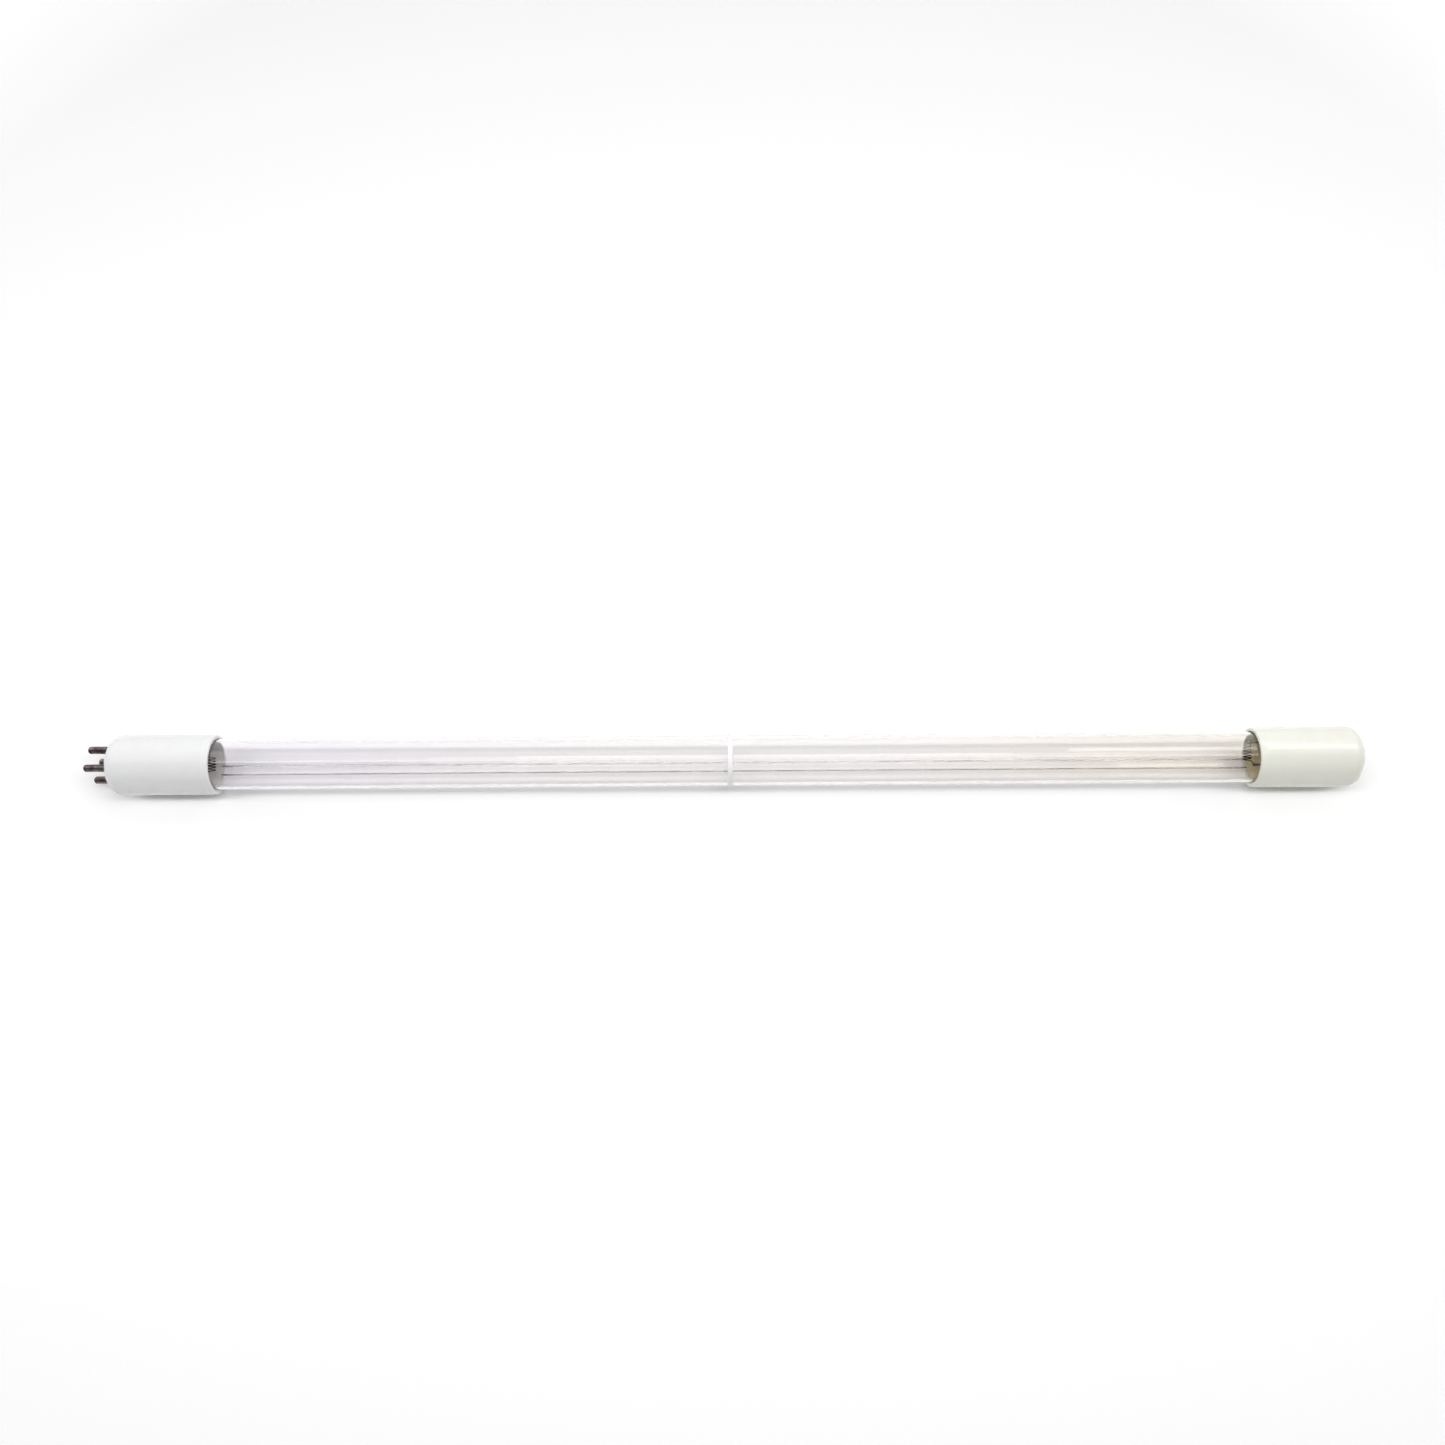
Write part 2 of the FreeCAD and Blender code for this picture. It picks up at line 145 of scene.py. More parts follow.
class LampSizes(bpy.types.PropertyGroup):
    """Sizes that the frame's boxes don't give."""

    tube_wall: size("Tube wall", "Thickness of the glass", 1.0)
    cap_wall: size("Cap wall", "Thickness of a cap's side", 0.7)
    mouth_gap: size("Mouth gap", "Between the glass and the lip of a cap's mouth", 0.16)
    lip_length: size("Mouth lip length", "How deep that lip is", 0.9)
    cap_end_wall: size("Cap end wall", "Thickness of a cap's closed end", 3.0)
    cap_end_round: size("Cap end round", "Radius at a cap's closed end", 4.0)
    cap_bore_round: size("Cap bore round", "Radius in the bottom of a cap's bore", 1.2)
    bevel_length: size("Mouth bevel length", "Length of the bevel at a cap's mouth", 2.0)
    bevel_depth: size("Mouth bevel depth", "How far the bevel draws in", 0.3)
    bevel_round: size("Mouth bevel round", "Radius where the bevel begins", 3.0)
    lip_round: size("Mouth lip round", "Radius on the edges of the mouth", 0.12)
    cement_recess: size("Cement recess", "From a cap's mouth to the cement", 0.95)
    cement_length: size("Cement length", "Length of the cement in a cap", 15.0)
    cement_swell: size("Cement swell", "How uneven the squeezed-out cement is", 0.16)
    cement_lump: size("Cement lump", "Width of a lump in that cement", 1.1)
    pin_diameter: size("Pin diameter", "Outside of a contact pin", 2.35)
    pin_reach: size("Pin reach", "How far a pin stands out of its cap", 6.8)
    pin_bore: size("Pin bore", "Inside of a contact pin", 1.5)
    pin_shank: size("Pin shank diameter", "The pin where it passes through the cap", 2.7)
    pin_shank_reach: size("Pin shank reach", "How far the shank stands out of the face", 0.1)
    pin_root_taper: size("Pin root taper", "Length of the cone between shank and pin", 0.25)
    pin_nose_round: size("Pin nose round", "Radius of a pin's nose", 0.75)
    pin_nose_wall: size("Pin nose wall", "Thickness of a pin's nose", 0.5)
    pin_nose_hole: size("Pin nose hole", "Hole that the solder closes", 0.8)
    pin_flange: size("Pin flange diameter", "The pin's foot inside the cap", 3.6)
    pin_flange_thickness: size("Pin flange thickness", "Thickness of that foot", 0.6)
    pin_flange_round: size("Pin flange round", "Radius on the foot's edge", 0.1)
    pin_shoulder_round: size("Pin shoulder round", "Radius where the shank ends", 0.04)
    pin_root_round: size("Pin root round", "Radius where the cone meets the pin", 0.2)
    pin_rim_round: size("Pin rim round", "Radius on the rim of the nose's hole", 0.06)
    pin_hole_clearance: size("Pin hole clearance", "Gap round a pin's shank", 0.03)
    sleeve_bore: size("Sleeve bore", "Radius inside a return wire's sleeve", 0.22)
    sleeve_outer_round: size("Sleeve outer round", "Radius on a sleeve's outer edge", 0.05)
    sleeve_bore_round: size("Sleeve bore round", "Radius on a sleeve's inner edge", 0.04)
    sleeve_clearance: size("Sleeve clearance", "Gap between a sleeve and the notch in a mouth", 0.06)
    glass_clearance: size("Glass clearance", "Gap between glass and cement", 0.02)
    coil_pitch: size("Coil pitch", "From turn to turn of an electrode", 0.9)
    coil_diameter: size("Coil diameter", "Middle diameter of an electrode's turns", 2.1)
    coil_strand: size("Coil strand", "Outside of the fine coil that an electrode is wound from", 0.4)
    strand_wire: size("Strand wire", "Tungsten wire of the fine coil", 0.12)
    strand_pitch: size("Strand pitch", "From turn to turn of the fine coil", 0.18)
    coil_turns: IntProperty(name="Coil turns", description="Turns of an electrode", default=5, min=1)
    pin_end_coil_depth: size("Pin end coil depth", "From the cap's face to the electrode", 31.4)
    far_end_coil_depth: size("Far end coil depth", "From the cap's face to the electrode", 34.2)
    far_end_coil_shift: size("Far end coil shift", "How far the electrode sits off the axis", 1.1)
    lead_spacing: size("Lead spacing", "Between an electrode's two lead wires", 6.9)
    lead_b_shortfall: size("Lead b shortfall", "How much shorter the second lead is", 1.6)
    clamp_length: size("Clamp length", "Length of a lead's flattened tip", 1.3)
    electrode_roll: turn("Electrode roll", "Turn of the electrodes about the lamp's axis", 15.0)


class LampColours(bpy.types.PropertyGroup):
    """Colours of the lamp's materials."""

    glass: colour("Glass", "Clear tube at mid-length", "#FBF9F9")
    # Painted shade: the tube is darker near the pin cap.
    pin_end_glass: colour("Pin end glass", "Clear tube near the pin cap", "#FAF8FB")
    # Painted shade and painted warm light: the tube is darker and warmer near the closed cap.
    far_end_glass_painted_warm_shade: colour("Far end glass", "Clear tube near the closed cap", "#F9F6F2")
    # Painted shade: the tube's wall is darker where it is seen edge on, at its rims.
    glass_rim_painted_shade: colour("Glass rim", "Share that passes where the wall is seen edge on", "#F2F1F2")
    stem_glass: colour("Stem glass", "Pressed stems", "#FEFEFE")
    glass_shade: colour("Glass shade", "What the glass lets through to what it shades", "#FAFAFA")
    glass_edge: colour("Glass edge shade", "The same where light grazes the glass", "#A2A2A6")
    glaze: colour("Glaze", "White glaze of the pin cap", "#EEEEEF")
    glaze_thin: colour("Thin glaze", "That glaze where the body shows through", "#E9E9E8")
    # Painted warm light: the closed cap's glaze is the pin cap's glaze, made warmer for the warm light
    # at that end.
    warm_lit_glaze: colour("Warm glaze", "White glaze of the closed cap", "#EFEFE5")
    warm_lit_glaze_thin: colour("Thin warm glaze", "That glaze where the body shows through", "#EAE9DD")
    # One basing cement, painted in two lights: near white at the pin end as painted light in its dim
    # mouth, tan at the closed end as painted warm light.
    pin_end_cement_painted_light: colour("Pale cement", "Basing cement at the pin end", "#FEFAF5")
    pin_end_grain_painted_light: colour("Pale grain", "Sand in that cement", "#F4ECE1")
    cement: colour("Cement", "Basing cement at the closed end", "#FCEFC0")
    far_end_grain_painted_warm_light: colour("Cement grain", "Sand in that cement", "#E4D196")
    pin: colour("Pin plate", "Nickel plate of the contact pins", "#877E7D")
    pin_tarnish: colour("Pin tarnish", "Dulled film on the plate", "#564C4C")
    solder: colour("Solder", "Tin at the pins' noses", "#BDBBB5")
    nickel: colour("Nickel", "Lead and return wires", "#A39C92")
    heat_stain: colour("Heat stain", "Oxide on the heated wires", "#4A423B")
    tungsten: colour("Tungsten", "Wire of the electrodes", "#26211F")
    emitter: colour("Emitter", "Oxide powder on the electrodes", "#4E4944")
    fluoropolymer: colour("Sleeve", "Sleeves of the return wires", "#FEFEFE")
    band: colour("Band", "Band at mid-length", "#FCFBFD")
    brass: colour("Splice", "Crimp barrels", "#C9B57E")
    mercury: colour("Mercury", "Mercury drop", "#DADBDE")
    floor: colour("Floor", "Table top", "#FDFDFD")
    window: colour("Window", "Light of the side window", "#FFFBEA")


class StageSettings(bpy.types.PropertyGroup):
    """Camera, table and studio.

    Angles of the studio count up from the far side, over the top, to the camera's side.
    """

    elevation: turn("Elevation", "Camera above the horizon", 75.0)
    distance: size("Distance", "Camera from the lamp's axis", 397.37)
    side: size("Side", "Camera along the lamp from the origin", 0.43)
    lens: FloatProperty(name="Lens", description="Focal length for a sensor 36 wide", default=31.49)
    aim_up: turn("Aim up", "How far the view is lifted off the axis", 1.7366)
    roll: turn("Roll", "Turn of the camera's right-hand side", 0.189)
    pan: turn("Pan", "Turn of the camera about the vertical", -0.3721)
    table_reach: size("Table reach", "Half of the table's side", 4000)
    table_gain: level("Table gain", "How bright the table is shown, of its own white", 1.1)
    far_table_gain: level("Far table gain", "The same far from the lamp", 3.4)
    near_table: size("Near table", "Where the table starts to be shown brighter", 360)
    far_table: size("Far table", "Where it is at its brightest", 1300)
    top_light: level("Top light", "Light from above and the far side", 0.08)
    end_light: level("End light", "Light from both ends besides", 1.1)
    fill_light: level("Fill light", "Light from all around besides", 0.13)
    light_full: turn("Light full", "Angle up to which the first two are full", 90)
    light_gone: turn("Light gone", "Angle from which they are gone", 114)
    far_gloss: level("Far gloss", "Far side as gloss mirrors it", 1.2)
    far_gloss_full: turn("Far gloss full", "Angle up to which that is full", 87)
    far_gloss_gone: turn("Far gloss gone", "Angle from which it is gone", 89)
    near_gloss: level("Near gloss", "Camera's side as gloss mirrors it", 0.35)
    near_gloss_gone: turn("Near gloss gone", "Angle up to which that is gone", 112)
    near_gloss_full: turn("Near gloss full", "Angle from which it is full", 122)


def spot(end, depth, u=0.0, w=0.0, roll=0.0):
    """A point of the lamp, from its depth behind a cap's face and its place across the axis."""
    y = u * math.cos(roll) - w * math.sin(roll)
    z = u * math.sin(roll) + w * math.cos(roll)
    return Vector((FACES[end] - end * depth, AXIS.y + y, AXIS.z + z))


def rounded(corners, steps=ROUND_STEPS):
    """The points of a closed outline of corners (x, r, round), each round drawn as an arc."""
    points = []
    for i, (x, r, radius) in enumerate(corners):
        corner = Vector((x, r))
        arriving = (corner - Vector(corners[i - 1][:2])).normalized()
        leaving = (Vector(corners[(i + 1) % len(corners)][:2]) - corner).normalized()
        half_turn = arriving.angle(leaving) / 2
        if radius == 0 or half_turn == 0:
            points.append(corner)
            continue
        reach = radius * math.tan(half_turn)
        centre = corner + (leaving - arriving).normalized() * (radius / math.cos(half_turn))
        start = corner - arriving * reach - centre
        finish = corner + leaving * reach - centre
        for step in range(steps + 1):
            points.append(centre + start.slerp(finish, step / steps) * radius)
    return points


def lathed(outline, centre, segments):
    """A mesh turned from a closed outline of points (x, r), about an axis along X through centre."""
    mesh = bmesh.new()
    rings = []
    for x, r in outline:
        if r < TINY:
            rings.append([mesh.verts.new((x, centre.y, centre.z))] * segments)
            continue
        ring = []
        for i in range(segments):
            angle = 2 * math.pi * i / segments
            y = centre.y + r * math.cos(angle)
            z = centre.z + r * math.sin(angle)
            ring.append(mesh.verts.new((x, y, z)))
        rings.append(ring)
    for a, b in zip(rings, rings[1:] + rings[:1]):
        for i in range(segments):
            j = (i + 1) % segments
            corners = list(dict.fromkeys((a[i], a[j], b[j], b[i])))
            if len(corners) > 2:
                mesh.faces.new(corners)
    bmesh.ops.recalc_face_normals(mesh, faces=mesh.faces)
    return mesh


def swept(points, radius, sides):
    """A round tube mesh along a list of points, closed at both ends."""
    mesh = bmesh.new()
    rings = []
    normal = (points[1] - points[0]).orthogonal().normalized()
    for i, point in enumerate(points):
        ahead = (points[min(i + 1, len(points) - 1)] - points[max(i - 1, 0)]).normalized()
        normal = (normal - ahead * normal.dot(ahead)).normalized()
        side = ahead.cross(normal)
        ring = []
        for k in range(sides):
            angle = 2 * math.pi * k / sides
            spoke = normal * math.cos(angle) + side * math.sin(angle)
            ring.append(mesh.verts.new(point + spoke * radius))
        rings.append(ring)
    for a, b in zip(rings, rings[1:]):
        for k in range(sides):
            m = (k + 1) % sides
            mesh.faces.new((a[k], a[m], b[m], b[k]))
    mesh.faces.new(reversed(rings[0]))
    mesh.faces.new(rings[-1])
    bmesh.ops.recalc_face_normals(mesh, faces=mesh.faces)
    return mesh


def smoothed(data, crease):
    """Shades a mesh smooth, apart from creases sharper than some degrees."""
    data.shade_smooth()
    data.set_sharp_from_angle(angle=math.radians(crease))
    return data


def shown(name, mesh, crease=CREASE):
    """An object in the scene from a bmesh, which is used up."""
    data = bpy.data.meshes.new(name)
    mesh.to_mesh(data)
    mesh.free()
    piece = bpy.data.objects.new(name, smoothed(data, crease))
    bpy.context.scene.collection.objects.link(piece)
    return piece


def drill(start, finish, radius, centre, sides):
    """A round cutter along X."""
    outline = [(start, 0), (finish, 0), (finish, radius), (start, radius)]
    return shown("drill", lathed(outline, centre, sides))


def drilled(piece, cutters):
    """Cuts the cutters out of a piece and removes them."""
    for cutter in cutters:
        cut = piece.modifiers.new("cut", "BOOLEAN")
        cut.operation = "DIFFERENCE"
        cut.solver = "EXACT"
        cut.object = cutter
    bpy.context.view_layer.update()
    graph = bpy.context.evaluated_depsgraph_get()
    result = bpy.data.meshes.new_from_object(piece.evaluated_get(graph))
    piece.modifiers.clear()
    piece.data = smoothed(result, CREASE)
    for cutter in cutters:
        bpy.data.objects.remove(cutter)


def dress(piece, material, slot, *nodes):
    """Gives a piece its material and its body, and hides the nodes that it stands for. The slot is not
    used.
    """
    piece.data.materials.clear()
    piece.data.materials.append(material)
    if nodes:
        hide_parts(*nodes)
    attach(piece, BODY)


def dress_node(node, material):
    """Gives a node of the frame its material."""
    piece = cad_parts[node]
    for socket in piece.material_slots:
        socket.link = "OBJECT"
        socket.material = material


def add(tree, kind, values=None, links=None, **properties):
    """Adds one node with its properties, its socket values and what feeds it.

    That is a socket, or a node, which then gives its first output in use.
    """
    node = tree.nodes.new(kind)
    for key, value in properties.items():
        setattr(node, key, value)
    for key, value in (values or {}).items():
        node.inputs[key].default_value = value
    for key, source in (links or {}).items():
        if isinstance(source, bpy.types.Node):
            source = next(output for output in source.outputs if output.enabled)
        tree.links.new(source, node.inputs[key])
    return node


def blank(name):
    """A new material with an empty node tree, and the output node of that tree."""
    material = bpy.data.materials.new(name)
    material.use_nodes = True
    material.node_tree.nodes.clear()
    return material, material.node_tree, add(material.node_tree, "ShaderNodeOutputMaterial")


def opaque(rgb):
    """A colour with full alpha."""
    return (rgb[0], rgb[1], rgb[2], 1.0)


def draw_lines(tree, place, width, length, height, detail=2.0, roughness=0.6):
    """Fine bump that runs along X, as drawing or pressing leaves it on glass and metal."""
    lines = add(tree, "ShaderNodeMapping", {"Scale": (per(length), per(width), per(width))},
                {"Vector": place})
    ripple = add(tree, "ShaderNodeTexNoise", {"Scale": 1.0, "Detail": detail, "Roughness": roughness},
                 {"Vector": lines})
    return add(tree, "ShaderNodeBump", {"Strength": 1.0, "Distance": height}, {"Height": ripple})


def lamps_pass(tree, surface, output, shade, edge):
    """Lets lamps and diffuse light through a glass with a plain tint.

    So its shadow is pale, and darker where the light grazes the glass.
    """
    facing = add(tree, "ShaderNodeLayerWeight", {"Blend": 0.5})
    grazing = add(tree, "ShaderNodeMapRange", {"From Min": 0.45, "From Max": 0.85},
                  {"Value": facing.outputs["Facing"]}, interpolation_type="SMOOTHSTEP")
    tint = add(tree, "ShaderNodeMix", {"A": opaque(shade), "B": opaque(edge)}, {"Factor": grazing},
               data_type="RGBA")
    clear = add(tree, "ShaderNodeBsdfTransparent", {}, {"Color": tint})
    path = add(tree, "ShaderNodeLightPath")
    passing = add(tree, "ShaderNodeMath", {},
                  {0: path.outputs["Is Shadow Ray"], 1: path.outputs["Is Diffuse Ray"]},
                  operation="MAXIMUM")
    mixed = add(tree, "ShaderNodeMixShader", {}, {0: passing, 1: surface, 2: clear})
    tree.links.new(mixed.outputs[0], output.inputs["Surface"])


def tube_glass(name, colours):
    """Drawn quartz glass: faint lines along the draw make its reflections streak.

    It is painted darker towards both ends and warmer towards the closed end, as painted shade and
    painted warm light, and its wall is painted darker where it is seen edge on, as painted shade
    at the rims.
    """
    material, tree, output = blank(name)
    place = add(tree, "ShaderNodeTexCoord").outputs["Object"]
    along = add(tree, "ShaderNodeSeparateXYZ", {}, {"Vector": place})
    # Painted shade towards both ends, and painted warm light towards the closed end.
    start, full = 40 * MM, 140 * MM  # where that grey starts and where it is full, from mid-length
    near_pins = add(tree, "ShaderNodeMapRange", {"From Min": -start, "From Max": -full},
                    {"Value": along.outputs["X"]}, interpolation_type="SMOOTHSTEP")
    near_end = add(tree, "ShaderNodeMapRange", {"From Min": start, "From Max": full},
                   {"Value": along.outputs["X"]}, interpolation_type="SMOOTHSTEP")
    left = add(tree, "ShaderNodeMix", {"A": opaque(colours.glass), "B": opaque(colours.pin_end_glass)},
               {"Factor": near_pins}, data_type="RGBA")
    tone = add(tree, "ShaderNodeMix", {"B": opaque(colours.far_end_glass_painted_warm_shade)},
               {"Factor": near_end, "A": left}, data_type="RGBA")
    # Painted shade at the rims: the glass is darker where its wall is seen edge on.
    facing = add(tree, "ShaderNodeLayerWeight", {"Blend": 0.5})
    edge_on = add(tree, "ShaderNodeMapRange", {"From Min": 0.5, "From Max": 0.85},
                  {"Value": facing.outputs["Facing"]}, interpolation_type="SMOOTHSTEP")
    rim_painted_shade = add(tree, "ShaderNodeMix", {"B": opaque(colours.glass_rim_painted_shade)},
                   {"Factor": edge_on, "A": tone}, data_type="RGBA", blend_type="MULTIPLY")
    bump = draw_lines(tree, place, width=1.1 * MM, length=400 * MM, height=0.0002 * MM)
    glass = add(tree, "ShaderNodeBsdfPrincipled",
                {"Roughness": 0.0, "IOR": 1.46, "Transmission Weight": 1.0},
                {"Base Color": rim_painted_shade, "Normal": bump})
    lamps_pass(tree, glass, output, colours.glass_shade, colours.glass_edge)
    return material


def stem_glass(name, colours):
    """Pressed glass: softened and squeezed, so its faces are faintly rippled."""
    material, tree, output = blank(name)
    place = add(tree, "ShaderNodeTexCoord").outputs["Object"]
    bump = draw_lines(tree, place, width=0.8 * MM, length=1.5 * MM, height=0.02 * MM)
    glass = add(tree, "ShaderNodeBsdfPrincipled",
                {"Base Color": opaque(colours.stem_glass), "Roughness": 0.04, "IOR": 1.46,
                 "Transmission Weight": 1.0}, {"Normal": bump})
    lamps_pass(tree, glass, output, colours.glass_shade, colours.glass_shade)
    return material


def ceramic_material(name, glaze, thin):
    """Glazed steatite: dipped and fired, so its gloss is faintly wavy and its white faintly uneven."""
    material, tree, output = blank(name)
    place = add(tree, "ShaderNodeTexCoord").outputs["Object"]
    cloud = add(tree, "ShaderNodeTexNoise", {"Scale": per(5 * MM), "Detail": 4.0, "Roughness": 0.55},
                {"Vector": place})
    thinness = add(tree, "ShaderNodeMapRange", {"From Min": 0.42, "From Max": 0.75, "To Max": 0.55},
                   {"Value": cloud})
    tone = add(tree, "ShaderNodeMix", {"A": opaque(glaze), "B": opaque(thin)}, {"Factor": thinness},
               data_type="RGBA")
    pores = add(tree, "ShaderNodeTexVoronoi", {"Scale": per(1.6 * MM), "Randomness": 1.0},
                {"Vector": place})
    pore = add(tree, "ShaderNodeMapRange", {"From Min": 0.02, "From Max": 0.07}, {"Value": pores},
               interpolation_type="SMOOTHSTEP")
    waves = add(tree, "ShaderNodeTexNoise", {"Scale": per(2.2 * MM), "Detail": 2.0}, {"Vector": place})
    waviness = add(tree, "ShaderNodeBump", {"Strength": 1.0, "Distance": 0.003 * MM}, {"Height": waves})
    pitted = add(tree, "ShaderNodeBump", {"Strength": 0.2, "Distance": 0.01 * MM},
                 {"Height": pore, "Normal": waviness})
    gloss = add(tree, "ShaderNodeMapRange", {"To Min": 0.14, "To Max": 0.22}, {"Value": cloud})
    body = add(tree, "ShaderNodeBsdfPrincipled",
               {"IOR": 1.5, "Subsurface Weight": 0.12, "Subsurface Scale": 0.6 * MM},
               {"Base Color": tone, "Roughness": gloss, "Normal": pitted})
    tree.links.new(body.outputs[0], output.inputs["Surface"])
    return material


def cement_material(name, paste, grain):
    """Baked basing cement: sandy, matte and pitted, so it scatters light with no gloss."""
    material, tree, output = blank(name)
    place = add(tree, "ShaderNodeTexCoord").outputs["Object"]
    sand = add(tree, "ShaderNodeTexNoise", {"Scale": per(0.35 * MM), "Detail": 5.0, "Roughness": 0.7},
               {"Vector": place})
    share = add(tree, "ShaderNodeMapRange", {"From Min": 0.45, "From Max": 0.75, "To Max": 0.8},
                {"Value": sand})
    tone = add(tree, "ShaderNodeMix", {"A": opaque(paste), "B": opaque(grain)}, {"Factor": share},
               data_type="RGBA")
    rough = add(tree, "ShaderNodeBump", {"Strength": 0.9, "Distance": 0.06 * MM}, {"Height": sand})
    body = add(tree, "ShaderNodeBsdfPrincipled", {"Roughness": 0.9, "IOR": 1.5},
               {"Base Color": tone, "Normal": rough})
    tree.links.new(body.outputs[0], output.inputs["Surface"])
    return material


def worn_metal(name, bright, dull, rubbed, filmed, film_size, line_width, line_length, line_height):
    """Metal under an uneven film: bright where it is rubbed, dull and rougher where the film lies.

    Its roughness is given for both places, then the size of the film's patches, and last the fine
    lines along X, as drawn wire and pushed-in pins have them.
    """
    material, tree, output = blank(name)
    place = add(tree, "ShaderNodeTexCoord").outputs["Object"]
    film = add(tree, "ShaderNodeTexNoise", {"Scale": per(film_size), "Detail": 5.0, "Roughness": 0.6},
               {"Vector": place})
    share = add(tree, "ShaderNodeMapRange", {"From Min": 0.35, "From Max": 0.65}, {"Value": film},
                interpolation_type="SMOOTHSTEP")
    tone = add(tree, "ShaderNodeMix", {"A": opaque(bright), "B": opaque(dull)}, {"Factor": share},
               data_type="RGBA")
    gloss = add(tree, "ShaderNodeMapRange", {"To Min": rubbed, "To Max": filmed}, {"Value": share})
    bump = draw_lines(tree, place, line_width, line_length, line_height, detail=3.0, roughness=0.5)
    body = add(tree, "ShaderNodeBsdfPrincipled", {"Metallic": 1.0},
               {"Base Color": tone, "Roughness": gloss, "Normal": bump})
    tree.links.new(body.outputs[0], output.inputs["Surface"])
    return material


def emitter_material(name, wire, powder):
    """Tungsten wire with sprayed emitter oxide: dull dark metal dusted with grey powder."""
    material, tree, output = blank(name)
    place = add(tree, "ShaderNodeTexCoord").outputs["Object"]
    dust = add(tree, "ShaderNodeTexNoise", {"Scale": per(0.3 * MM), "Detail": 4.0, "Roughness": 0.65},
               {"Vector": place})
    share = add(tree, "ShaderNodeMapRange", {"From Min": 0.48, "From Max": 0.62}, {"Value": dust},
                interpolation_type="SMOOTHSTEP")
    tone = add(tree, "ShaderNodeMix", {"A": opaque(wire), "B": opaque(powder)}, {"Factor": share},
               data_type="RGBA")
    metal = add(tree, "ShaderNodeMapRange", {"To Min": 0.9, "To Max": 0.0}, {"Value": share})
    gloss = add(tree, "ShaderNodeMapRange", {"To Min": 0.45, "To Max": 0.95}, {"Value": share})
    body = add(tree, "ShaderNodeBsdfPrincipled", {},
               {"Base Color": tone, "Metallic": metal, "Roughness": gloss})
    tree.links.new(body.outputs[0], output.inputs["Surface"])
    return material


def polymer_material(name, rgb, roughness, passing, haze_size):
    """Extruded fluoropolymer: milky and waxy, with a soft gloss that clouds a little.

    One that lets light pass lets the lamps through too, so its shadow is pale.
    """
    material, tree, output = blank(name)
    place = add(tree, "ShaderNodeTexCoord").outputs["Object"]
    haze = add(tree, "ShaderNodeTexNoise", {"Scale": per(haze_size), "Detail": 3.0}, {"Vector": place})
    gloss = add(tree, "ShaderNodeMapRange", {"To Min": roughness * 0.8, "To Max": roughness * 1.25},
                {"Value": haze})
    bump = add(tree, "ShaderNodeBump", {"Strength": 1.0, "Distance": 0.004 * MM}, {"Height": haze})
    body = add(tree, "ShaderNodeBsdfPrincipled",
               {"Base Color": opaque(rgb), "IOR": 1.38, "Transmission Weight": passing,
                "Subsurface Weight": 0.2, "Subsurface Scale": 0.5 * MM},
               {"Roughness": gloss, "Normal": bump})
    if passing == 0:
        tree.links.new(body.outputs[0], output.inputs["Surface"])
        return material
    clear = add(tree, "ShaderNodeBsdfTransparent", {"Color": opaque(rgb)})
    path = add(tree, "ShaderNodeLightPath")
    share = add(tree, "ShaderNodeMath", {1: passing}, {0: path.outputs["Is Shadow Ray"]},
                operation="MULTIPLY")
    mixed = add(tree, "ShaderNodeMixShader", {}, {0: share, 1: body, 2: clear})
    tree.links.new(mixed.outputs[0], output.inputs["Surface"])
    return material


def mercury_material(name, rgb):
    """Liquid mercury: a mirror with the faintest skin of dust."""
    material, tree, output = blank(name)
    place = add(tree, "ShaderNodeTexCoord").outputs["Object"]
    dust = add(tree, "ShaderNodeTexNoise", {"Scale": per(0.15 * MM), "Detail": 2.0}, {"Vector": place})
    gloss = add(tree, "ShaderNodeMapRange",
                {"From Min": 0.5, "From Max": 0.7, "To Min": 0.02, "To Max": 0.12}, {"Value": dust})
    body = add(tree, "ShaderNodeBsdfPrincipled", {"Base Color": opaque(rgb), "Metallic": 1.0},
               {"Roughness": gloss})
    tree.links.new(body.outputs[0], output.inputs["Surface"])
    return material


def floor_material(name, rgb, stage):
    """Matte white laminate: no gloss, shown to the camera as a bright photograph shows it.

    Far from the lamps it is shown brighter still, so that it stays white to the horizon.
    """
    material, tree, output = blank(name)
    path = add(tree, "ShaderNodeLightPath")
    direct = add(tree, "ShaderNodeMath", {},
                 {0: path.outputs["Is Camera Ray"], 1: path.outputs["Is Transmission Ray"]},
                 operation="MAXIMUM")
    seen = add(tree, "ShaderNodeMath", {}, {0: direct, 1: path.outputs["Is Glossy Ray"]},
               operation="MAXIMUM")
    place = add(tree, "ShaderNodeTexCoord").outputs["Object"]
    reach = add(tree, "ShaderNodeVectorMath", {}, {0: place}, operation="LENGTH")
    away = add(tree, "ShaderNodeMapRange", {"From Min": stage.near_table, "From Max": stage.far_table},
               {"Value": reach.outputs["Value"]})
    share = add(tree, "ShaderNodeMath", {}, {0: away, 1: direct}, operation="MULTIPLY")
    bright = tuple(channel * stage.table_gain for channel in rgb)
    brightest = tuple(channel * stage.far_table_gain for channel in rgb)
    tone = add(tree, "ShaderNodeMix", {"A": opaque(rgb), "B": opaque(bright)}, {"Factor": seen},
               data_type="RGBA")
    far_tone = add(tree, "ShaderNodeMix", {"B": opaque(brightest)}, {"Factor": share, "A": tone},
                   data_type="RGBA")
    body = add(tree, "ShaderNodeBsdfDiffuse", {}, {"Color": far_tone})
    tree.links.new(body.outputs[0], output.inputs["Surface"])
    return material


